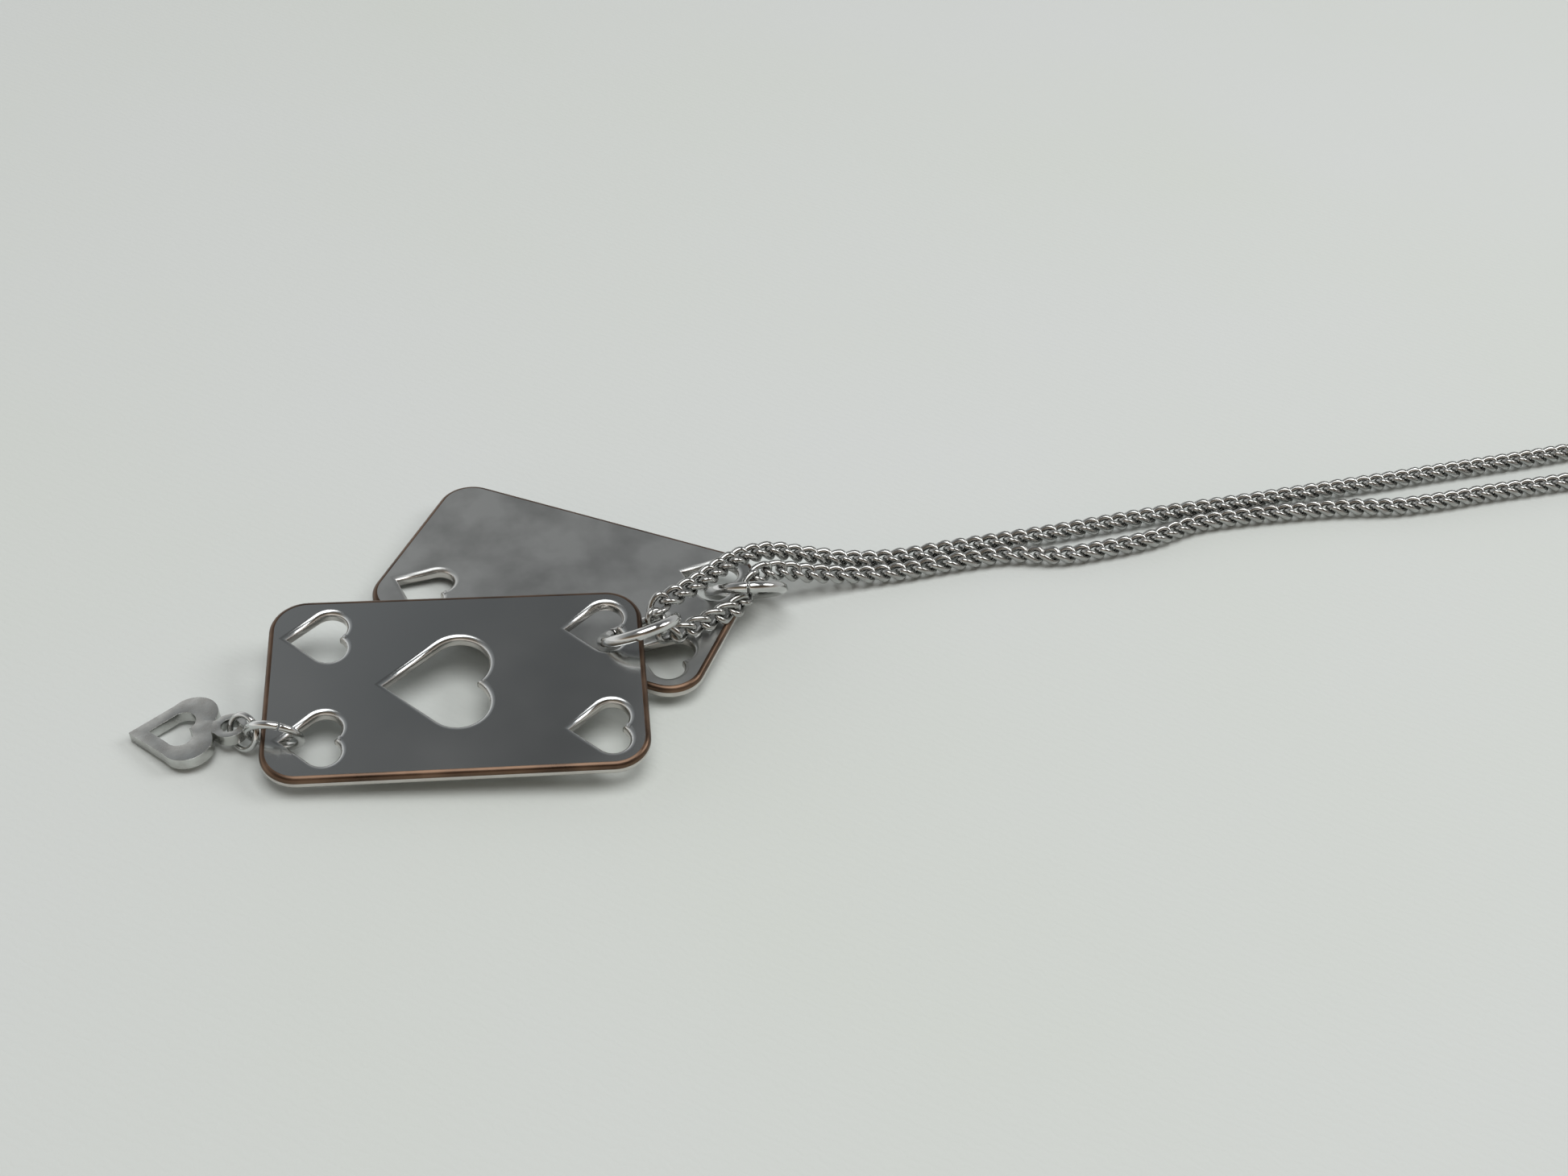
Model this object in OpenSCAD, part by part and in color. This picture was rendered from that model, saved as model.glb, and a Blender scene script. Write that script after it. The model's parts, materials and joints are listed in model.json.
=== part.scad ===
// Two-plate playing-card pendant necklace on a curb chain, laid out on a flat surface.
// The origin is on that surface under the middle of the back plate, and +X runs along the chain.

/* [Card plates] */
// Length of each card plate
plate_l = 40; // [38:0.5:41]
// Width of each card plate
plate_w = 24; // [23:0.5:25]
// Thickness of each card plate
plate_t = 1.6; // [1.2:0.1:1.6]
// Corner radius of the card plates
plate_r = 4; // [3:0.5:5]
// Size of a corner heart against the centre heart
small_heart = 0.56; // [0.5:0.01:0.57]
// Lobe radius of the centre heart
lobe_r = 3.25; // [2.9:0.05:3.4]

/* [Jump rings] */
// Wire thickness of the two plate rings
ring_wire = 1.3; // [0.9:0.1:1.3]
// Radius of the two plate rings to the middle of the wire
ring_r = 4.2; // [4.1:0.1:4.3]
// Wire thickness of the hoop between the front plate and the charm ring
hoop_wire = 0.85; // [0.7:0.05:0.9]
// Radius of that hoop to the middle of the wire
hoop_r = 2.75; // [2.7:0.05:2.8]
// Wire thickness of the charm ring
charm_wire = 0.65; // [0.6:0.05:0.7]
// Radius of the charm ring to the middle of the wire
charm_ring_r = 1.8; // [1.75:0.05:1.85]
// Gap at the joint of each jump ring, in degrees
ring_gap = 3; // [2:0.5:6]

/* [Charm] */
// Scale of the spade outline against the centre heart
spade = 0.8; // [0.7:0.05:0.9]
// Thickness of the charm
charm_t = 1.25; // [1:0.05:1.3]
// Radius of the hole in the charm's foot
charm_hole_r = 0.95; // [0.85:0.05:1]

/* [Chain] */
// Thickness of the curb chain
chain_d = 2; // [1.6:0.1:2]
// Radius of the chain's turn round the front ring
turn_r = 2; // [1.9:0.05:2.1]

/* [Clasp] */
// Thickness of the lobster clasp
clasp_t = 1.8; // [1.6:0.1:2]
// Radius of the pin that the clasp's gate turns on
pin_r = 0.35; // [0.3:0.05:0.4]
// Radial clearance between the gate and its pin
pin_fit = 0.05; // [0.02:0.01:0.08]
// Radius of the end ring that the clasp hooks into
end_ring_r = 2.3; // [2:0.1:2.6]

/* [Hidden] */
$fn = 48;

bright = [0.62, 0.63, 0.62];
satin = [0.52, 0.53, 0.52];
dark = [0.42, 0.43, 0.43];

// ---- Places: each is [x, y, z], and each lean is [about x, about y, about z] ----

back_plate_at = [0, 0, 2.9];
back_plate_lean = [3, -1.75, -39.25];
front_plate_at = [-16, -15.6, 5.1];
front_plate_lean = [8.5, -2, -12.8];
front_ring_at = [4.5, -13.65, 6.25];
front_ring_lean = [141, 0, 16];
back_ring_at = [19.2, -7.55, 3.8];
back_ring_lean = [134, 0, -10];
charm_hoop_at = [-35.35, -16.8, 3.05];
charm_hoop_lean = [113.5, -11, -28.5];
charm_ring_at = [-38.2, -14.8, 2.35];
charm_ring_lean = [65, -4.5, -53];
charm_at = [-39.25, -13.7, 1.3];
charm_lean = [0, -6.8, -15.5];
turn_at = [8.55, -12.5, 6.25];
turn_lean = [51, 0, 25];

// ---- Card plates ----

// Hearts: [scale, x, y] of the point midway between the lobe centres
corner_x = 14.8;
corner_y = 6.8;
corner_shift = 1.2;
near_left = [small_heart, corner_shift - corner_x, -corner_y];
far_left = [small_heart, corner_shift - corner_x, corner_y];
near_right = [small_heart, corner_shift + corner_x, -corner_y];
far_right = [small_heart, corner_shift + corner_x, corner_y];
centre = [1, 0.1, 0];
front_hearts = [near_left, far_left, near_right, far_right, centre];
back_hearts = [near_left, near_right, far_right];

lobe_gap = 0.8 * lobe_r;
heart_tip = 7.85;

// The outline of a card with round corners
module card_outline() {
    square([plate_l - 2 * plate_r, plate_w], center = true);
    square([plate_l, plate_w - 2 * plate_r], center = true);
    for (x = [-1, 1], y = [-1, 1])
        translate([x * (plate_l / 2 - plate_r), y * (plate_w / 2 - plate_r)])
            circle(plate_r);
}

// The wedge ends a little inside the lobes, so that its sides cross their rims cleanly
wedge_r = 0.97 * lobe_r;

// A heart whose tip points to -X: two round lobes and the wedge between them and the tip
module heart_outline(s) {
    tip = [-heart_tip * s, 0];
    lobe = [0, lobe_gap * s];
    reach = norm(lobe - tip);
    side = sqrt(reach * reach - wedge_r * wedge_r * s * s);
    slope = atan2(lobe_gap, heart_tip) + asin(wedge_r * s / reach);
    touch = tip + side * [cos(slope), sin(slope)];
    polygon([tip, [touch[0], -touch[1]], [0, -lobe[1]], lobe, touch]);
    translate(lobe)
        circle(lobe_r * s);
    translate(-lobe)
        circle(lobe_r * s);
}

// A card plate with the middle of its top face at the origin
module plate(hearts) {
    translate([0, 0, -plate_t])
        linear_extrude(plate_t)
            difference() {
                card_outline();
                for (h = hearts)
                    translate([h[1], h[2]])
                        heart_outline(h[0]);
            }
}

// Turns a plate: its own slope first, then its heading
module lay_plate(place, lean) {
    translate(place)
        rotate([0, 0, lean[2]])
            rotate([lean[0], 0, 0])
                rotate([0, lean[1], 0])
                    children();
}

module front_plate() {
    color(bright)
        lay_plate(front_plate_at, front_plate_lean)
            plate(front_hearts);
}

module back_plate() {
    color(satin)
        lay_plate(back_plate_at, back_plate_lean)
            plate(back_hearts);
}

// ---- Jump rings ----

// A ring of round wire with a sawn joint; start is where the joint lies
module jump_ring(r, wire, start) {
    rotate([0, 0, start])
        rotate_extrude(angle = 360 - ring_gap)
            translate([r, 0])
                circle(d = wire);
}

module front_ring() {
    color(bright)
        translate(front_ring_at)
            rotate(front_ring_lean)
                jump_ring(ring_r, ring_wire, 250);
}

module back_ring() {
    color(bright)
        translate(back_ring_at)
            rotate(back_ring_lean)
                jump_ring(ring_r, ring_wire, 98);
}

module charm_hoop() {
    color(bright)
        translate(charm_hoop_at)
            rotate(charm_hoop_lean)
                jump_ring(hoop_r, hoop_wire, 60);
}

module charm_ring() {
    color(bright)
        translate(charm_ring_at)
            rotate(charm_ring_lean)
                jump_ring(charm_ring_r, charm_wire, 60);
}

// ---- Charm: a pierced spade whose foot holds the charm ring; the hole is at the origin ----

foot_r = 1.75;
foot_reach = 4.1;
stem_w = 1.6;
pierce = 0.42;

// The spade's body, its stem, and the round foot
module spade_blank() {
    translate([-foot_reach, 0, 0])
        linear_extrude(charm_t)
            heart_outline(spade);
    linear_extrude(charm_t)
        polygon([[-foot_reach + 0.5, stem_w / 2], [-1.8, stem_w / 2], [-0.9, 1.35],
                 [-0.9, -1.35], [-1.8, -stem_w / 2], [-foot_reach + 0.5, -stem_w / 2]]);
    cylinder(r = foot_r, h = charm_t);
}

module charm() {
    color(bright)
        translate(charm_at)
            rotate(charm_lean)
                difference() {
                    spade_blank();
                    translate([-foot_reach - 0.9, 0, -1])
                        linear_extrude(charm_t + 2)
                            heart_outline(pierce);
                    translate([0, 0, -1])
                        cylinder(r = charm_hole_r, h = charm_t + 2);
                }
}

// ---- Chain: two strands of one curb chain, and its turn round the front ring ----

// Where the turn ends, on the back strand's side (1) or the front strand's side (-1)
function turn_end(side) =
    turn_at + side * turn_r * [-cos(turn_lean[0]) * sin(turn_lean[2]),
                               cos(turn_lean[0]) * cos(turn_lean[2]),
                               sin(turn_lean[0])];
turn_way = [cos(turn_lean[2]), sin(turn_lean[2]), 0];

back_near_route = concat([turn_end(1)], [
    [10.8, -10.2, 7.8], [13.6, -8.4, 7.4], [16.6, -6.2, 6.9], [20, -4.2, 6.2],
    [24, -3, 5.2], [29, -2.8, 3.4], [34, -3, 2], [40, -3.2, 1.2]]);
back_far_route = [
    [40, -3.2, 1.2], [47, -3.2, 1.2], [54, -3.3, 1.2], [61, -3.4, 1.2], [68, -3.3, 1.2],
    [75, -3.2, 1.2], [82, -3.3, 1.2], [89, -3.5, 1.2], [96, -3.6, 1.2], [103, -3.7, 1.2],
    [110, -3.8, 1.2], [117, -3.8, 1.2], [124, -3.9, 1.2], [131, -4, 1.2], [138, -4, 1.2],
    [145, -3.9, 1.2], [152, -3.7, 1.2], [159, -3.5, 1.2], [166, -3.3, 1.2], [173, -3.1, 1.2],
    [180, -2.9, 1.2], [187, -2.7, 1.2], [194, -2.6, 1.2], [201, -2.5, 1.2]];
front_near_route = concat([turn_end(-1)], [
    [11.8, -12.9, 4.75], [14.4, -12, 4.8], [16.9, -10.9, 4.7], [19, -8.8, 4.9],
    [20.8, -6.8, 5.2], [23.4, -5.9, 4.7], [28, -5.6, 3.1], [34, -5.6, 1.7], [40, -5.7, 1.2]]);
front_far_route = [
    [40, -5.7, 1.2], [47, -5.6, 1.2], [54, -5.9, 1.2], [60, -7.6, 1.2], [66, -7.8, 1.2],
    [73, -7.4, 1.2], [80, -6, 1.2], [87, -6.1, 1.2], [94, -6.7, 1.2], [101, -7.6, 1.2],
    [108, -9, 1.2], [115, -9.4, 1.2], [122, -9.4, 1.2], [129, -9.6, 1.2], [136, -9.8, 1.2],
    [143, -10, 1.2], [150, -10.2, 1.2], [157, -10.4, 1.2], [164, -10.6, 1.2],
    [171, -10.8, 1.2], [178, -11, 1.2], [185, -11.2, 1.2], [192, -11.4, 1.2],
    [199, -11.5, 1.2]];
plain_way = [1, 0, 0];

sides = 8;

function unit(v) = v / norm(v);

// The direction of a route at point i, given at its first and last points
function way(route, i, first, last) =
    i == 0 ? first :
    i == len(route) - 1 ? last :
    unit(unit(route[i + 1] - route[i]) + unit(route[i] - route[i - 1]));

// One ring of points round a route's point, square to the direction w
function hoop(p, w) =
    let (across = unit(cross([0, 0, 1], w)), over = cross(w, across))
    [for (k = [0 : sides - 1])
        let (a = 360 * (k + 0.5) / sides)
        p + chain_d / 2 * (cos(a) * across + sin(a) * over)];

// A closed tube swept along a route
module strand(route, first, last) {
    n = len(route);
    points = [for (i = [0 : n - 1]) each hoop(route[i], way(route, i, first, last))];
    walls = [for (i = [0 : n - 2], k = [0 : sides - 1])
        let (a = i * sides + k, b = i * sides + (k + 1) % sides)
        each [[a, a + sides, b + sides], [a, b + sides, b]]];
    start_cap = [for (k = [0 : sides - 1]) k];
    end_cap = [for (k = [sides - 1 : -1 : 0]) (n - 1) * sides + k];
    polyhedron(points, concat([start_cap], walls, [end_cap]));
}

module strand_back_near() {
    color(dark)
        strand(back_near_route, turn_way, plain_way);
}

module strand_back_far() {
    color(dark)
        strand(back_far_route, plain_way, plain_way);
}

module strand_front_near() {
    color(dark)
        strand(front_near_route, turn_way, plain_way);
}

module strand_front_far() {
    color(dark)
        strand(front_far_route, plain_way, plain_way);
}

// The half turn of the chain round the wire of the front ring
module chain_turn() {
    color(dark)
        translate(turn_at)
            rotate(turn_lean)
                rotate([0, 0, 90])
                    rotate_extrude(angle = 180)
                        translate([turn_r, 0])
                            circle(d = chain_d);
}

// ---- Chain ends ----

link_r = 0.95;
link_wire = 0.6;

module end_link(route) {
    color(dark)
        translate(route[len(route) - 1] + [link_r - 0.1, 0, 0])
            rotate_extrude()
                translate([link_r, 0])
                    circle(d = link_wire);
}

module back_end_link() {
    end_link(back_far_route);
}

module front_end_link() {
    end_link(front_far_route);
}

clasp_ring_r = 1.7;
clasp_ring_wire = 0.7;
clasp_ring_at = back_far_route[len(back_far_route) - 1] + [2.25, 0, 0.93];

module clasp_ring() {
    color(bright)
        translate(clasp_ring_at)
            rotate([90, 0, 0])
                jump_ring(clasp_ring_r, clasp_ring_wire, 88);
}

end_ring_wire = 0.8;
end_ring_at = front_far_route[len(front_far_route) - 1] + [2.95, -1, 1];
end_ring_tilt = 52;

module end_ring() {
    color(bright)
        translate(end_ring_at)
            rotate([end_ring_tilt, 0, 0])
                jump_ring(end_ring_r, end_ring_wire, 88);
}

// ---- Lobster clasp: the tail eye is at the origin and the hook lies along +X ----

clasp_at = clasp_ring_at + [clasp_ring_r, 0, -0.9];
clasp_slope = 4;
eye_r = 0.95;
tail_r = 1.7;
loop_x = 7.9;
loop_r = 1.9;
nose_r = 3.4;
gate_x = 6.05;
gate_y = 1.85;
gate_t = 1.1;
knuckle_r = 0.7;
// How far the gate reaches from its pin; the nose ends on an arc a little beyond that
gate_reach = 3.65;
tip_angle = 28;
root_angle = 112;
spring_y = 0.95;

module lay_clasp() {
    translate(clasp_at)
        rotate([0, clasp_slope, 0])
            children();
}

// The sector of a circle round the loop's centre, from angle a to angle b
module sector(a, b, r) {
    translate([loop_x, 0])
        polygon([[0, 0], for (i = [0 : 6]) r * [cos(a + (b - a) * i / 6), sin(a + (b - a) * i / 6)]]);
}

module clasp_body() {
    color(bright)
        lay_clasp()
            difference() {
                linear_extrude(clasp_t)
                    difference() {
                        union() {
                            circle(tail_r);
                            translate([loop_x, 0])
                                circle(nose_r);
                            polygon([[0.3, -1.65], [loop_x - 1.2, -3.15], [loop_x - 1.2, 3.15],
                                     [0.3, 1.65]]);
                        }
                        circle(eye_r);
                        translate([loop_x, 0])
                            circle(loop_r);
                        intersection() {
                            sector(tip_angle - 4, root_angle, 6);
                            translate([gate_x, gate_y])
                                circle(gate_reach + 0.1);
                        }
                    }
                // The slot that the gate's knuckle turns in
                translate([0, 0, (clasp_t - gate_t) / 2 - 0.1])
                    linear_extrude(gate_t + 0.2)
                        union() {
                            translate([gate_x, gate_y])
                                circle(knuckle_r + 0.3);
                            sector(root_angle - 10, 142, 4.6);
                        }
                // The bore that the gate's pin is pressed into
                translate([gate_x, gate_y, -1])
                    cylinder(r = pin_r, h = clasp_t + 2);
                // The channel that the gate's spring lies in
                translate([2.6, spring_y, clasp_t / 2])
                    rotate([0, 90, 0])
                        cylinder(r = 0.5, h = 3.2);
            }
}

module clasp_pin() {
    color(dark)
        lay_clasp()
            translate([gate_x, gate_y, 0])
                cylinder(r = pin_r, h = clasp_t);
}

module clasp_lever() {
    color(bright)
        lay_clasp()
            translate([0, 0, (clasp_t - gate_t) / 2])
                difference() {
                    linear_extrude(gate_t)
                        union() {
                            intersection() {
                                translate([loop_x, 0])
                                    difference() {
                                        circle(nose_r - 0.1);
                                        circle(loop_r + 0.1);
                                    }
                                sector(tip_angle - 4, 135, 6);
                                translate([gate_x, gate_y])
                                    circle(gate_reach);
                            }
                            translate([gate_x, gate_y])
                                circle(knuckle_r);
                            // The thumb tab
                            translate([5.75, 3.1])
                                circle(0.85);
                        }
                    translate([gate_x, gate_y, -1])
                        cylinder(r = pin_r + pin_fit, h = gate_t + 2);
                }
}

// The coil that closes the gate, drawn as a sleeve with a ridge at each turn
module clasp_spring() {
    color(dark)
        lay_clasp()
            translate([2.75, spring_y, clasp_t / 2])
                rotate([0, 90, 0])
                    rotate_extrude()
                        union() {
                            translate([0.2, 0])
                                square([0.14, 2.2]);
                            for (i = [0 : 4])
                                translate([0.33, 0.2 + i * 0.45])
                                    circle(r = 0.11, $fn = 16);
                        }
}

strand_back_near();
strand_back_far();
strand_front_near();
strand_front_far();
chain_turn();
back_end_link();
front_end_link();
front_ring();
back_ring();
front_plate();
back_plate();
charm_hoop();
charm_ring();
charm();
clasp_ring();
clasp_body();
clasp_lever();
clasp_pin();
clasp_spring();
end_ring();
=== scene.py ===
"""A card-plate pendant necklace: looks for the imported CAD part, in metres."""
import json
import math

import bmesh
import bpy
from mathutils import Euler, Matrix, Quaternion, Vector

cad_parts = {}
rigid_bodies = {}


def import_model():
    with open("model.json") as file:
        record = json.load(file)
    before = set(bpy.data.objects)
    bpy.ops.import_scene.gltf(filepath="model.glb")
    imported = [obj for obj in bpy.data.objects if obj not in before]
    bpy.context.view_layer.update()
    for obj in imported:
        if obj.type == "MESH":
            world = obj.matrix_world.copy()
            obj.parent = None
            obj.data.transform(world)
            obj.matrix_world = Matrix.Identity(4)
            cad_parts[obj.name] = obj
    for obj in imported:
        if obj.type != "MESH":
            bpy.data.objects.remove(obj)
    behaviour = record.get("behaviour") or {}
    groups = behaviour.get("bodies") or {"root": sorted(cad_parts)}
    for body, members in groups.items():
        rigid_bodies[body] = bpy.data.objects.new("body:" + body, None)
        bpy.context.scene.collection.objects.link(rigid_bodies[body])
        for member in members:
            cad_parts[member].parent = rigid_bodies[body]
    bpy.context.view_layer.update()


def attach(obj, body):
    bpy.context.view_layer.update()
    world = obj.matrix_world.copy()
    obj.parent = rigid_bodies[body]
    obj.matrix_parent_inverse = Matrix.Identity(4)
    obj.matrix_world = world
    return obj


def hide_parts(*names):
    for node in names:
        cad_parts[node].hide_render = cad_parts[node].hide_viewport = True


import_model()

MM = 0.001
# Points closer than this are one point
WELD = 0.002 * MM


def mm(x, y, z):
    return Vector((x, y, z)) * MM


def turn(x, y, z):
    """A rotation about X, then Y, then Z, in degrees."""
    return Euler([math.radians(a) for a in (x, y, z)], "XYZ").to_matrix().to_4x4()


# ---------------------------------------------------------------- camera

CAMERA_AT = mm(-46, -164.5, 146.4)
CAMERA_TARGET = mm(25.5, -4, 0)
CAMERA_ROLL = 6.5
CAMERA_LENS = 44.4


def make_camera():
    data = bpy.data.cameras.new("camera")
    data.lens = CAMERA_LENS
    data.sensor_width = 36
    data.clip_start = 0.01
    data.clip_end = 20
    cam = bpy.data.objects.new("camera", data)
    bpy.context.collection.objects.link(cam)
    look = (CAMERA_TARGET - CAMERA_AT).to_track_quat("-Z", "Y")
    roll = Quaternion((0, 0, 1), math.radians(CAMERA_ROLL))
    cam.rotation_mode = "QUATERNION"
    cam.rotation_quaternion = look @ roll
    cam.location = CAMERA_AT
    bpy.context.scene.camera = cam


# ---------------------------------------------------------------- materials


def new_material(name, color, metallic, roughness):
    """A Principled material, with its node tree and its shader."""
    mat = bpy.data.materials.new(name)
    mat.use_nodes = True
    tree = mat.node_tree
    shader = tree.nodes["Principled BSDF"]
    shader.inputs["Base Color"].default_value = (*color, 1)
    shader.inputs["Metallic"].default_value = metallic
    shader.inputs["Roughness"].default_value = roughness
    return mat, tree, shader


def add_noise(tree, scale, detail=3.0):
    coords = tree.nodes.new("ShaderNodeTexCoord")
    noise = tree.nodes.new("ShaderNodeTexNoise")
    noise.inputs["Scale"].default_value = scale
    noise.inputs["Detail"].default_value = detail
    tree.links.new(coords.outputs["Object"], noise.inputs["Vector"])
    return noise


def map_range(tree, source, low, high, first=0.3, last=0.7):
    node = tree.nodes.new("ShaderNodeMapRange")
    node.inputs["From Min"].default_value = first
    node.inputs["From Max"].default_value = last
    node.inputs["To Min"].default_value = low
    node.inputs["To Max"].default_value = high
    tree.links.new(source, node.inputs["Value"])
    return node.outputs["Result"]


def mix_colors(tree, factor, first, second):
    node = tree.nodes.new("ShaderNodeMix")
    node.data_type = "RGBA"
    tree.links.new(factor, node.inputs["Factor"])
    node.inputs["A"].default_value = (*first, 1)
    node.inputs["B"].default_value = (*second, 1)
    return node.outputs["Result"]


def bump(tree, shader, height, strength, distance):
    node = tree.nodes.new("ShaderNodeBump")
    node.inputs["Strength"].default_value = strength
    node.inputs["Distance"].default_value = distance
    tree.links.new(height, node.inputs["Height"])
    tree.links.new(node.outputs["Normal"], shader.inputs["Normal"])


def metal(name, color, dark, roughness, spread, scale, dent=0.0):
    """A metal whose colour and gloss drift a little from place to place."""
    mat, tree, shader = new_material(name, color, 1.0, roughness)
    noise = add_noise(tree, scale)
    tint = map_range(tree, noise.outputs["Fac"], 0.0, 1.0)
    tree.links.new(mix_colors(tree, tint, color, dark), shader.inputs["Base Color"])
    gloss = map_range(tree, noise.outputs["Fac"], roughness, roughness + spread)
    tree.links.new(gloss, shader.inputs["Roughness"])
    if dent:
        fine = add_noise(tree, scale * 3)
        bump(tree, shader, fine.outputs["Fac"], 0.3, dent)
    return mat


def mottled(name, color, dark, roughness):
    """Satin metal with cloudy paler and darker patches."""
    mat = metal(name, color, dark, roughness, 0.08, 70)
    tree = mat.node_tree
    shader = tree.nodes["Principled BSDF"]
    patches = add_noise(tree, 170, 5)
    base = shader.inputs["Base Color"].links[0].from_socket
    mix = tree.nodes.new("ShaderNodeMix")
    mix.data_type = "RGBA"
    mix.blend_type = "MULTIPLY"
    mix.inputs["Factor"].default_value = 1
    shade = map_range(tree, patches.outputs["Fac"], 0.78, 1.12, 0.35, 0.65)
    tree.links.new(base, mix.inputs["A"])
    tree.links.new(shade, mix.inputs["B"])
    tree.links.new(mix.outputs["Result"], shader.inputs["Base Color"])
    return mat


def cloth():
    """Pale woven cloth with faint level ribs and a soft cloudy tone."""
    mat, tree, shader = new_material("pale_cloth", (0.6, 0.62, 0.6), 0.0, 0.9)
    coords = tree.nodes.new("ShaderNodeTexCoord")
    weave = tree.nodes.new("ShaderNodeTexWave")
    weave.bands_direction = "DIAGONAL"
    weave.inputs["Scale"].default_value = 420
    weave.inputs["Distortion"].default_value = 6
    weave.inputs["Detail"].default_value = 3
    weave.inputs["Detail Scale"].default_value = 2
    tree.links.new(coords.outputs["Object"], weave.inputs["Vector"])
    cloud = add_noise(tree, 9, 4)
    tone = map_range(tree, cloud.outputs["Fac"], 0, 1)
    tree.links.new(
        mix_colors(tree, tone, (0.64, 0.665, 0.66), (0.625, 0.66, 0.625)),
        shader.inputs["Base Color"],
    )
    bump(tree, shader, weave.outputs["Fac"], 0.12, 0.0001)
    return mat


# ---------------------------------------------------------------- mesh helpers


def add_object(name, mesh, mats, body, *replaced):
    """Puts a finished mesh in the scene, on its body, in place of its CAD nodes."""
    obj = bpy.data.objects.new(name, mesh)
    bpy.context.collection.objects.link(obj)
    for m in mats:
        mesh.materials.append(m)
    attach(obj, body)
    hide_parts(*replaced)
    return obj


def smooth(mesh):
    for face in mesh.polygons:
        face.use_smooth = True


def tube_faces(rings, sides, closed):
    last = rings if closed else rings - 1
    return [
        (
            i * sides + k,
            (i + 1) % rings * sides + k,
            (i + 1) % rings * sides + (k + 1) % sides,
            i * sides + (k + 1) % sides,
        )
        for i in range(last)
        for k in range(sides)
    ]


# ---------------------------------------------------------------- chain

PITCH = 2.0 * MM
LINK_HALF_LENGTH = 1.36 * MM
LINK_HALF_WIDTH = 0.86 * MM
LINK_RISE = 0.43 * MM
LINK_WIRE = 0.74 * MM
LINK_STEPS = 26
LINK_SIDES = 10

TURN_AT = mm(8.55, -12.5, 6.25)
TURN_LEAN = turn(51, 0, 25)
TURN_R = 2.0 * MM

BACK_ROUTE = [
    (10.8, -10.2, 7.8), (13.6, -8.4, 7.4), (16.6, -6.2, 6.9), (20, -4.2, 6.2),
    (24, -3, 5.2), (29, -2.8, 3.4), (34, -3, 2), (40, -3.2, 1.2), (47, -3.2, 1.2),
    (54, -3.3, 1.2), (61, -3.4, 1.2), (68, -3.3, 1.2), (75, -3.2, 1.2), (82, -3.3, 1.2),
    (89, -3.5, 1.2), (96, -3.6, 1.2), (103, -3.7, 1.2), (110, -3.8, 1.2), (117, -3.8, 1.2),
    (124, -3.9, 1.2), (131, -4, 1.2), (138, -4, 1.2), (145, -3.9, 1.2), (152, -3.7, 1.2),
    (159, -3.5, 1.2), (166, -3.3, 1.2), (173, -3.1, 1.2), (180, -2.9, 1.2), (187, -2.7, 1.2),
    (194, -2.6, 1.2), (201, -2.5, 1.2),
]
FRONT_ROUTE = [
    (11.8, -12.9, 4.75), (14.4, -12, 4.8), (16.9, -10.9, 4.7), (19, -8.8, 4.9),
    (20.8, -6.8, 5.2), (23.4, -5.9, 4.7), (28, -5.6, 3.1), (34, -5.6, 1.7), (40, -5.7, 1.2),
    (47, -5.6, 1.2), (54, -5.9, 1.2), (60, -7.6, 1.2), (66, -7.8, 1.2), (73, -7.4, 1.2),
    (80, -6, 1.2), (87, -6.1, 1.2), (94, -6.7, 1.2), (101, -7.6, 1.2), (108, -9, 1.2),
    (115, -9.4, 1.2), (122, -9.4, 1.2), (129, -9.6, 1.2), (136, -9.8, 1.2), (143, -10, 1.2),
    (150, -10.2, 1.2), (157, -10.4, 1.2), (164, -10.6, 1.2), (171, -10.8, 1.2), (178, -11, 1.2),
    (185, -11.2, 1.2), (192, -11.4, 1.2), (199, -11.5, 1.2),
]
CURVE_STEPS = 16
TURN_STEPS = 24
# Length over which the leftover twist of the links is eased out
TWIST_EASE = 30 * MM


def turn_point(angle):
    """A point on the chain's half turn round the front ring, from 90 to 270 degrees."""
    a = math.radians(angle)
    return TURN_AT + (TURN_LEAN @ Vector((TURN_R * math.cos(a), TURN_R * math.sin(a), 0)))


def rounded(points):
    """A smooth line through the points, with short even steps."""
    ends = [2 * points[0] - points[1]] + points + [2 * points[-1] - points[-2]]
    line = []
    for p, a, b, q in zip(ends, ends[1:], ends[2:], ends[3:]):
        for i in range(CURVE_STEPS):
            t = i / CURVE_STEPS
            line.append(
                0.5 * (2 * a + (b - p) * t + (2 * p - 5 * a + 4 * b - q) * t * t
                       + (3 * a - p - 3 * b + q) * t ** 3)
            )
    return line + [points[-1]]


def lengths(line):
    total = [0.0]
    for a, b in zip(line, line[1:]):
        total.append(total[-1] + (b - a).length)
    return total


def carried_frames(line, side):
    """The side vector at every point, carried along the line without twist."""
    sides = []
    before = (line[1] - line[0]).normalized()
    for i in range(len(line)):
        after = (line[min(i + 1, len(line) - 1)] - line[max(i - 1, 0)]).normalized()
        side = before.rotation_difference(after) @ side
        side = (side - after * side.dot(after)).normalized()
        sides.append(side)
        before = after
    return sides


def link_points(centre, along, across):
    """The wire of one twisted oval link, as rings of points."""
    over = along.cross(across)
    spine = []
    for i in range(LINK_STEPS):
        a = 2 * math.pi * i / LINK_STEPS
        spine.append(
            centre + along * (LINK_HALF_LENGTH * math.cos(a))
            + across * (LINK_HALF_WIDTH * math.sin(a))
            + over * (LINK_RISE * math.sin(2 * a))
        )
    points = []
    for i, p in enumerate(spine):
        way = (spine[(i + 1) % LINK_STEPS] - spine[i - 1]).normalized()
        out = (p - centre).normalized()
        out = (out - way * out.dot(way)).normalized()
        up = way.cross(out)
        for k in range(LINK_SIDES):
            b = 2 * math.pi * k / LINK_SIDES
            points.append(p + LINK_WIRE / 2 * (out * math.cos(b) + up * math.sin(b)))
    return points


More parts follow.
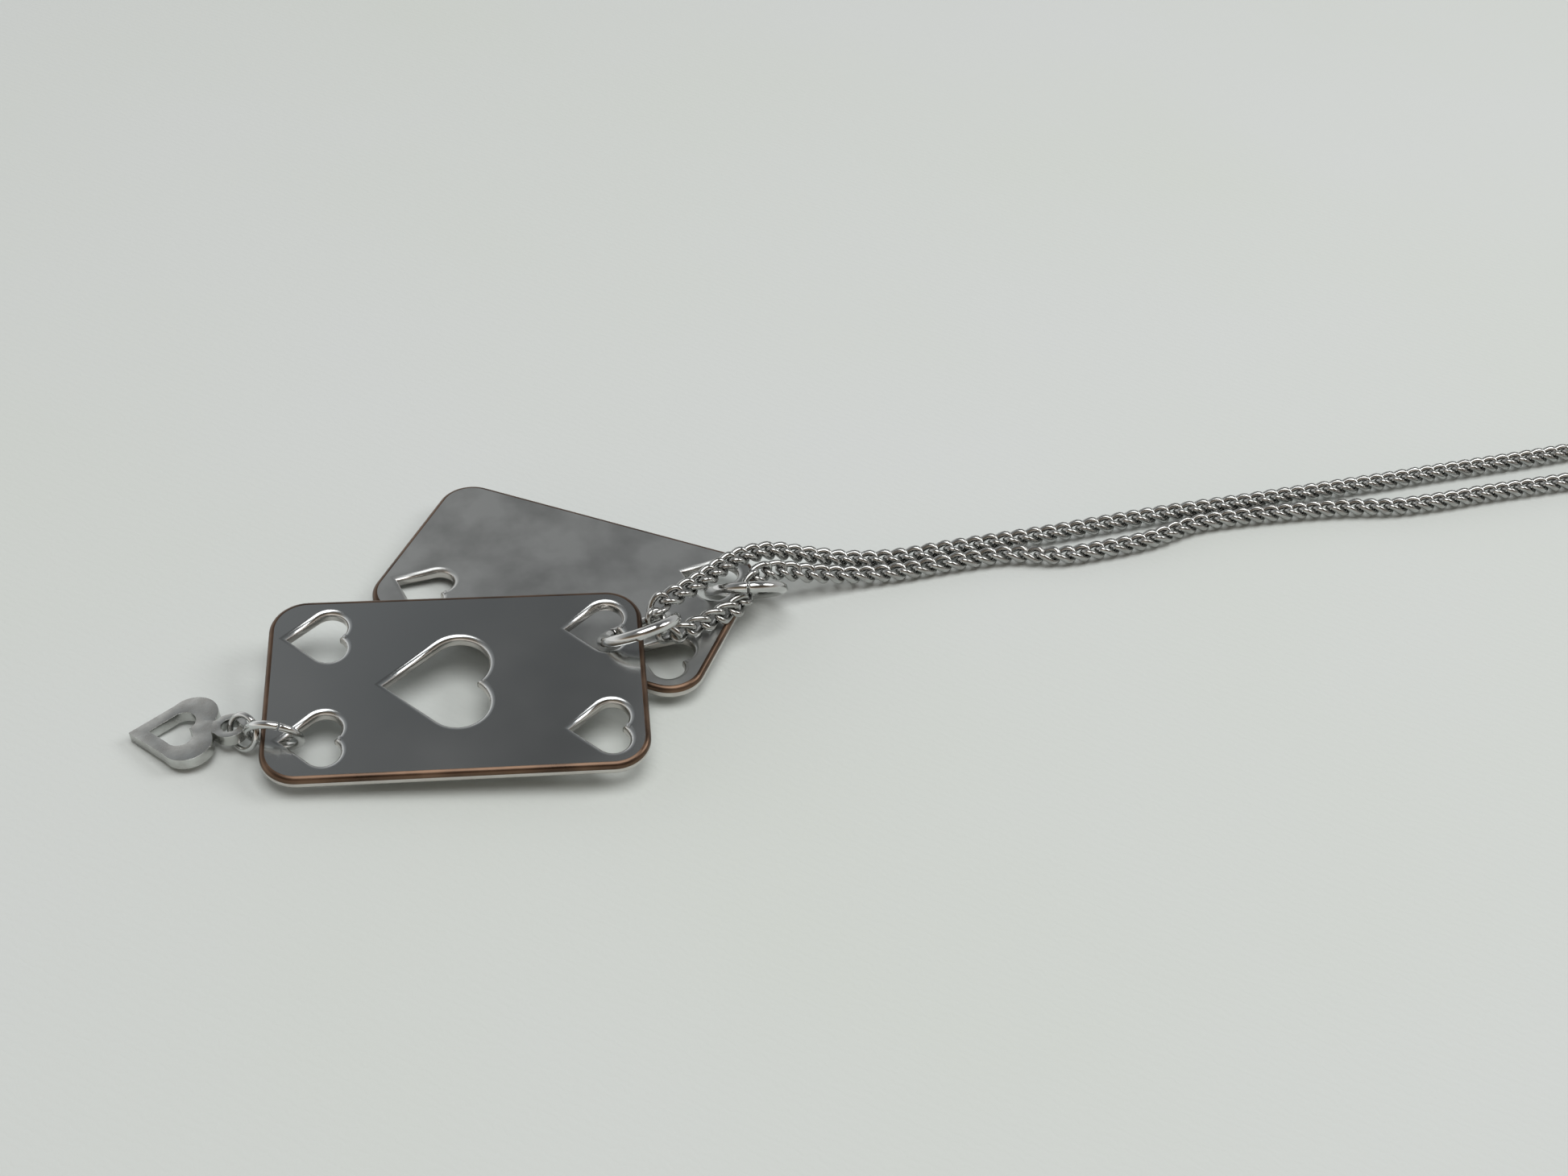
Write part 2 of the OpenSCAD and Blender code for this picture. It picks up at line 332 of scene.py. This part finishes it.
def link_mesh(name, places):
    points = []
    faces = []
    pattern = tube_faces(LINK_STEPS, LINK_SIDES, True)
    for place in places:
        start = len(points)
        points += link_points(*place)
        faces += [tuple(start + v for v in face) for face in pattern]
    mesh = bpy.data.meshes.new(name)
    mesh.from_pydata(points, [], faces)
    smooth(mesh)
    return mesh


def chain_sides(line, middle):
    """The links' side vectors, level at both ends of the chain."""
    flat = Vector((0, 1, 0))
    sides = carried_frames(line[: middle + 1], flat)
    tail = carried_frames(line[: middle - 1 : -1], flat)[::-1]
    way = (line[middle + 1] - line[middle - 1]).normalized()
    gap = math.atan2(sides[-1].cross(tail[0]).dot(way), sides[-1].dot(tail[0]))
    gap -= math.pi * round(gap / math.pi)
    total = lengths(line)
    for i in range(1, len(tail)):
        at = middle + i
        share = max(0.0, 1 - (total[at] - total[middle]) / TWIST_EASE)
        along = (line[min(at + 1, len(line) - 1)] - line[at - 1]).normalized()
        sides.append(Matrix.Rotation(-gap * share, 3, along) @ tail[i])
    return sides


def link_places(line, sides, turn_first, front_first):
    """Each link's centre, its way along and its way across, listed by part of the chain."""
    total = lengths(line)
    places = {"back": [], "turn": [], "front": []}
    count = int(total[-1] / PITCH)
    at = 0
    for n in range(count + 1):
        s = (total[-1] - count * PITCH) / 2 + n * PITCH
        while at < len(total) - 2 and total[at + 1] < s:
            at += 1
        t = (s - total[at]) / (total[at + 1] - total[at])
        centre = line[at].lerp(line[at + 1], t)
        along = (line[at + 1] - line[at]).normalized()
        across = sides[at].lerp(sides[at + 1], t)
        across = (across - along * across.dot(along)).normalized()
        part = "back" if at < turn_first else "turn" if at < front_first else "front"
        places[part].append((centre, along, across))
    return places


def make_chain(mat):
    """One curb chain: the back strand, the turn round the front ring, the front strand."""
    back = rounded([turn_point(90)] + [mm(*p) for p in BACK_ROUTE])
    front = rounded([turn_point(270)] + [mm(*p) for p in FRONT_ROUTE])
    half = [turn_point(90 + 180 * i / TURN_STEPS) for i in range(1, TURN_STEPS)]
    line = back[::-1] + half + front
    sides = chain_sides(line, len(back) + len(half) // 2)
    places = link_places(line, sides, len(back) - 1, len(back) + len(half))
    for part, nodes in (
        ("back", ("strand_back_near", "strand_back_far")),
        ("turn", ("chain_turn",)),
        ("front", ("strand_front_near", "strand_front_far")),
    ):
        mesh = link_mesh("chain_" + part, places[part])
        add_object("chain_" + part + "_links", mesh, [mat], "chain", *nodes)
    nodes = bpy.data.objects


# ---------------------------------------------------------------- card plates

PLATE_L = 40 * MM
PLATE_W = 24 * MM
PLATE_T = 1.6 * MM
PLATE_R = 4 * MM
EDGE = 0.6 * MM
SMALL = 0.56
LOBE_R = 3.25 * MM
LOBE_GAP = 0.8 * LOBE_R
HEART_TIP = 7.85 * MM
# Places of the corner hearts, in millimetres
CORNER_X = 14.8
CORNER_Y = 6.8
SHIFT = 1.2
# Width of the band at the rim where a dark brown reflection is painted
PAINTED_REFLECTION_BAND = 0.7 * MM


def arc(x, y, r, first, last, steps):
    turns = [math.radians(first + (last - first) * i / steps) for i in range(steps + 1)]
    return [(x + r * math.cos(a), y + r * math.sin(a)) for a in turns]


def card_outline():
    x = PLATE_L / 2 - PLATE_R
    y = PLATE_W / 2 - PLATE_R
    points = []
    for sx, sy, first in ((1, 1, 0), (-1, 1, 90), (-1, -1, 180), (1, -1, 270)):
        points += arc(sx * x, sy * y, PLATE_R, first, first + 90, 16)
    return points


def heart_outline(scale, x, y):
    """A heart whose tip points to -X, round the point midway between its lobe centres."""
    lobe = LOBE_GAP * scale
    r = LOBE_R * scale
    tip = HEART_TIP * scale
    reach = math.hypot(tip, lobe)
    slope = math.degrees(math.atan2(lobe, tip) + math.asin(r / reach))
    notch = math.degrees(math.acos(lobe / r))
    upper = arc(x, y + lobe, r, slope + 90, notch - 90, 30)
    lower = arc(x, y - lobe, r, 90 - notch, -slope - 90, 30)
    return [(x - tip, y)] + upper + lower


def flat_solid(name, outlines, thickness, edge):
    """A flat solid with rounded edges from an outline and its holes, its top at z = 0."""
    curve = bpy.data.curves.new(name, "CURVE")
    curve.dimensions = "2D"
    curve.fill_mode = "BOTH"
    curve.extrude = thickness / 2 - edge
    curve.bevel_depth = edge
    curve.bevel_resolution = 4
    curve.offset = -edge
    for outline in outlines:
        spline = curve.splines.new("POLY")
        spline.points.add(len(outline) - 1)
        for point, (x, y) in zip(spline.points, outline):
            point.co = (x, y, 0, 1)
        spline.use_cyclic_u = True
    obj = bpy.data.objects.new(name, curve)
    bpy.context.collection.objects.link(obj)
    bpy.context.view_layer.update()
    graph = bpy.context.evaluated_depsgraph_get()
    mesh = bpy.data.meshes.new_from_object(obj.evaluated_get(graph))
    bpy.data.objects.remove(obj)
    work = bmesh.new()
    work.from_mesh(mesh)
    bmesh.ops.remove_doubles(work, verts=work.verts, dist=WELD)
    bmesh.ops.recalc_face_normals(work, faces=work.faces)
    work.to_mesh(mesh)
    work.free()
    mesh.materials.clear()
    mesh.transform(Matrix.Translation((0, 0, -thickness / 2)))
    for face in mesh.polygons:
        face.use_smooth = abs(face.normal.z) < 0.999
        face.material_index = 1 if abs(face.normal.z) < 0.5 else 0
    return mesh


def mark_painted_reflection_rim(mesh):
    """Marks the rounded upper rim of the card's outline, where a dark brown reflection of the room
    is painted.
    """
    x_flat = PLATE_L / 2 - PLATE_R
    y_flat = PLATE_W / 2 - PLATE_R
    for face in mesh.polygons:
        x = max(0, abs(face.center.x) - x_flat)
        y = max(0, abs(face.center.y) - y_flat)
        if math.hypot(x, y) > PLATE_R - PAINTED_REFLECTION_BAND and 0.15 < face.normal.z < 0.99:
            face.material_index = 2


def lay_plate(mesh, place, lean):
    tilt = turn(0, 0, lean[2]) @ turn(lean[0], 0, 0) @ turn(0, lean[1], 0)
    mesh.transform(Matrix.Translation(place) @ tilt)


def small_heart(sx, sy):
    return heart_outline(SMALL, (SHIFT + sx * CORNER_X) * MM, sy * CORNER_Y * MM)


def make_plates(polished, satin, edge_metal, painted_rim_reflection):
    centre = heart_outline(1, 0.1 * MM, 0)
    front = [card_outline(), centre] + [small_heart(x, y) for x in (-1, 1) for y in (-1, 1)]
    back = [card_outline(), small_heart(-1, -1), small_heart(1, -1), small_heart(1, 1)]
    for name, outlines, place, lean, face, slot in (
        ("front_plate", front, mm(-16, -15.6, 5.1), (8.5, -2, -12.8), polished, "polished_plate"),
        ("back_plate", back, mm(0, 0, 2.9), (3, -1.75, -39.25), satin, "satin_plate"),
    ):
        mesh = flat_solid(name + "_mesh", outlines, PLATE_T, EDGE)
        # The plates' upper rims get the painted dark brown reflection colour
        mark_painted_reflection_rim(mesh)
        lay_plate(mesh, place, lean)
        obj = add_object(name + "_rounded", mesh, [face, edge_metal, painted_rim_reflection], name, name)


# ---------------------------------------------------------------- jump rings

RING_STEPS = 120
RING_SIDES = 24
JOINT_GAP = 3


def ring_mesh(name, place, lean, r, wire, start):
    """A jump ring of round wire with a sawn joint at the start angle."""
    points = []
    for i in range(RING_STEPS):
        a = math.radians(start + (360 - JOINT_GAP) * i / (RING_STEPS - 1))
        out = Vector((math.cos(a), math.sin(a), 0))
        for k in range(RING_SIDES):
            b = 2 * math.pi * k / RING_SIDES
            rise = Vector((0, 0, wire / 2 * math.sin(b)))
            points.append(out * (r + wire / 2 * math.cos(b)) + rise)
    faces = tube_faces(RING_STEPS, RING_SIDES, False)
    first = (RING_STEPS - 1) * RING_SIDES
    faces.append(tuple(range(RING_SIDES)))
    faces.append(tuple(first + k for k in reversed(range(RING_SIDES))))
    mesh = bpy.data.meshes.new(name)
    mesh.from_pydata(points, [], faces)
    mesh.transform(Matrix.Translation(place) @ turn(*lean))
    smooth(mesh)
    for face in mesh.polygons[-2:]:
        face.use_smooth = False
    return mesh


def make_rings(mat):
    for name, place, lean, r, wire, start in (
        ("front_ring", mm(4.5, -13.65, 6.25), (141, 0, 16), 4.2 * MM, 1.3 * MM, 250),
        ("back_ring", mm(19.2, -7.55, 3.8), (134, 0, -10), 4.2 * MM, 1.3 * MM, 98),
        ("charm_hoop", mm(-35.35, -16.8, 3.05), (113.5, -11, -28.5), 2.75 * MM, 0.85 * MM, 60),
        ("charm_ring", mm(-38.2, -14.8, 2.35), (65, -4.5, -53), 1.8 * MM, 0.65 * MM, 60),
    ):
        mesh = ring_mesh(name + "_wire", place, lean, r, wire, start)
        add_object(name + "_round", mesh, [mat], name, name)


# ---------------------------------------------------------------- softened CAD pieces


# Edges sharper than the first angle are rounded, and the shading breaks at the second
SHARP_EDGE = 60
SHADING_BREAK = 35


def soften(name, body, width, mat):
    """A CAD piece with its sharp edges rounded."""
    source = bpy.data.objects[name]
    work = bmesh.new()
    work.from_mesh(source.data)
    work.transform(source.matrix_world)
    bmesh.ops.remove_doubles(work, verts=work.verts, dist=WELD)
    bmesh.ops.dissolve_limit(
        work, angle_limit=math.radians(0.5), verts=work.verts, edges=work.edges)
    sharp = [e for e in work.edges if len(e.link_faces) == 2
             and e.calc_face_angle() > math.radians(SHARP_EDGE)]
    bmesh.ops.bevel(
        work, geom=sharp, offset=width, offset_type="OFFSET", segments=3, profile=0.5,
        affect="EDGES", clamp_overlap=True)
    bmesh.ops.triangulate(work, faces=work.faces)
    mesh = bpy.data.meshes.new(name + "_softened")
    work.to_mesh(mesh)
    work.free()
    obj = add_object(name + "_soft", mesh, [mat], body, name)
    smooth(mesh)
    mesh.set_sharp_from_angle(angle=math.radians(SHADING_BREAK))


# ---------------------------------------------------------------- finishes, floor, lights

FLOOR_HALF = 1.5


def finish_cad_nodes(finishes):
    """Gives the CAD nodes that stay their materials and smooth shading."""
    for name, mat in finishes.items():
        obj = bpy.data.objects[name]
        obj.data.materials.clear()
        obj.data.materials.append(mat)
        obj.data.shade_smooth()


def make_floor(mat):
    mesh = bpy.data.meshes.new("cloth")
    corners = [(x * FLOOR_HALF, y * FLOOR_HALF, 0) for x, y in ((-1, -1), (1, -1), (1, 1), (-1, 1))]
    mesh.from_pydata(corners, [], [(0, 1, 2, 3)])
    floor = bpy.data.objects.new("cloth", mesh)
    bpy.context.collection.objects.link(floor)
    mesh.materials.append(mat)


def area_light(name, place, target, size, power, tint):
    data = bpy.data.lights.new(name, "AREA")
    data.shape = "RECTANGLE"
    data.size, data.size_y = size
    data.energy = power
    data.color = tint
    light = bpy.data.objects.new(name, data)
    bpy.context.collection.objects.link(light)
    light.location = place
    light.rotation_mode = "QUATERNION"
    light.rotation_quaternion = (Vector(target) - Vector(place)).to_track_quat("-Z", "Y")


def blend_stops(tree, source, stops):
    """A colour ramp along one part of a direction, from (place, level, warmth) stops."""
    ramp = tree.nodes.new("ShaderNodeValToRGB")
    tree.links.new(source, ramp.inputs["Fac"])
    elements = ramp.color_ramp.elements
    for i, (place, level, warmth) in enumerate(stops):
        stop = elements[i] if i < 2 else elements.new(place)
        stop.position = place
        stop.color = (level * (1 + warmth), level, level * (1 - warmth), 1)
    return ramp.outputs["Color"]


def make_world():
    """A dim room: grey behind the necklace, darker and warmer on the viewer's side."""
    world = bpy.data.worlds.new("room")
    bpy.context.scene.world = world
    world.use_nodes = True
    tree = world.node_tree
    coords = tree.nodes.new("ShaderNodeTexCoord")
    parts = tree.nodes.new("ShaderNodeSeparateXYZ")
    tree.links.new(coords.outputs["Generated"], parts.inputs["Vector"])
    back = blend_stops(tree, parts.outputs["Z"], (
        (0.0, 0.8, 0.0), (1.0, 0.5, 0.0), (0.3, 0.75, 0.0), (0.5, 0.45, 0.0),
        (0.68, 0.28, -0.02), (0.8, 0.22, -0.03), (0.9, 0.08, 0.0)))
    front = blend_stops(tree, parts.outputs["Z"], (
        (0.0, 0.8, 0.05), (1.0, 0.5, 0.0), (0.22, 0.5, 0.1), (0.4, 0.12, 0.35), (0.75, 0.09, 0.2)))
    facing = map_range(tree, parts.outputs["Y"], 0, 1, -0.35, 0.2)
    sides = map_range(tree, parts.outputs["X"], 1.35, 0.75, -0.05, 0.1)
    room = tree.nodes.new("ShaderNodeMix")
    room.data_type = "RGBA"
    tree.links.new(facing, room.inputs["Factor"])
    tree.links.new(front, room.inputs["A"])
    tree.links.new(back, room.inputs["B"])
    background = tree.nodes["Background"]
    tree.links.new(room.outputs["Result"], background.inputs["Color"])
    tree.links.new(sides, background.inputs["Strength"])


make_camera()
chain_metal = metal("chain_metal", (0.46, 0.47, 0.46), (0.32, 0.315, 0.3), 0.13, 0.1, 900)
ring_metal = metal("ring_metal", (0.62, 0.63, 0.62), (0.5, 0.5, 0.49), 0.09, 0.08, 300)
charm_metal = metal("charm_metal", (0.56, 0.57, 0.55), (0.42, 0.42, 0.4), 0.16, 0.14, 700, 0.00003)
clasp_metal = metal("clasp_polish", (0.6, 0.61, 0.6), (0.5, 0.5, 0.5), 0.12, 0.1, 300)
steel = metal("clasp_steel", (0.4, 0.41, 0.41), (0.3, 0.3, 0.3), 0.3, 0.1, 300)
soften("clasp_body", "clasp", 0.2 * MM, clasp_metal)
soften("clasp_lever", "clasp_lever", 0.15 * MM, clasp_metal)
make_chain(chain_metal)

polished = metal("plate_polished", (0.52, 0.54, 0.54), (0.46, 0.47, 0.465), 0.15, 0.07, 60)
satin = mottled("plate_satin", (0.54, 0.55, 0.54), (0.46, 0.47, 0.46), 0.28)
edge_metal = metal("plate_edge", (0.62, 0.6, 0.57), (0.54, 0.51, 0.48), 0.16, 0.1, 500, 0.00003)
# Dark brown painted reflection for the plates' upper rims: the dim room on the viewer's side,
# painted into the colour
painted_rim_reflection = metal("plate_painted_rim_reflection", (0.07, 0.046, 0.033), (0.17, 0.11, 0.075), 0.26, 0.15, 260, 0.00003)
make_plates(polished, satin, edge_metal, painted_rim_reflection)
make_rings(ring_metal)
soften("charm", "charm", 0.16 * MM, charm_metal)
finish_cad_nodes({
    "back_end_link": chain_metal,
    "front_end_link": chain_metal,
    "clasp_ring": ring_metal,
    "end_ring": ring_metal,
    "clasp_pin": steel,
    "clasp_spring": steel,
})

make_floor(cloth())
area_light("ceiling", (0.05, -0.15, 1.1), (0.02, 0, 0), (0.8, 0.8), 7, (1, 1, 1))
area_light("window", (0.9, -0.1, 0.75), (-0.1, 0, 0), (0.5, 0.5), 3.6, (1, 1, 1))
make_world()
bpy.context.scene.view_settings.view_transform = "Standard"
